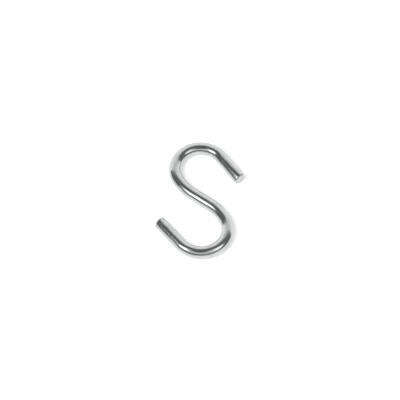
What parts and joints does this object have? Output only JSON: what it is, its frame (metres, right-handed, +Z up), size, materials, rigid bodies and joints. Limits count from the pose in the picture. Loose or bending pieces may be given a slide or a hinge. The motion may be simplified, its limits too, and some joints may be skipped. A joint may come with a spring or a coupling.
{
  "type": "s hook",
  "caption": "Open S hook bent from round plated steel wire, with a wide loop at each end and straight legs that flare out to square-cut tips.",
  "frame": {"origin": "middle of the bounding box, on the surface that the hook lies flat on", "axes": "+Z up off that surface, +Y along the line through both loop centres towards the smaller loop, +X across"},
  "size_m": [0.0286, 0.0422, 0.004],
  "materials": {
    "plated_wire": "bright zinc plate over drawn steel wire, near mirror with faint drawing lines"
  },
  "bodies": {
    "root": {"hook": "plated_wire"}
  },
  "joints": []
}
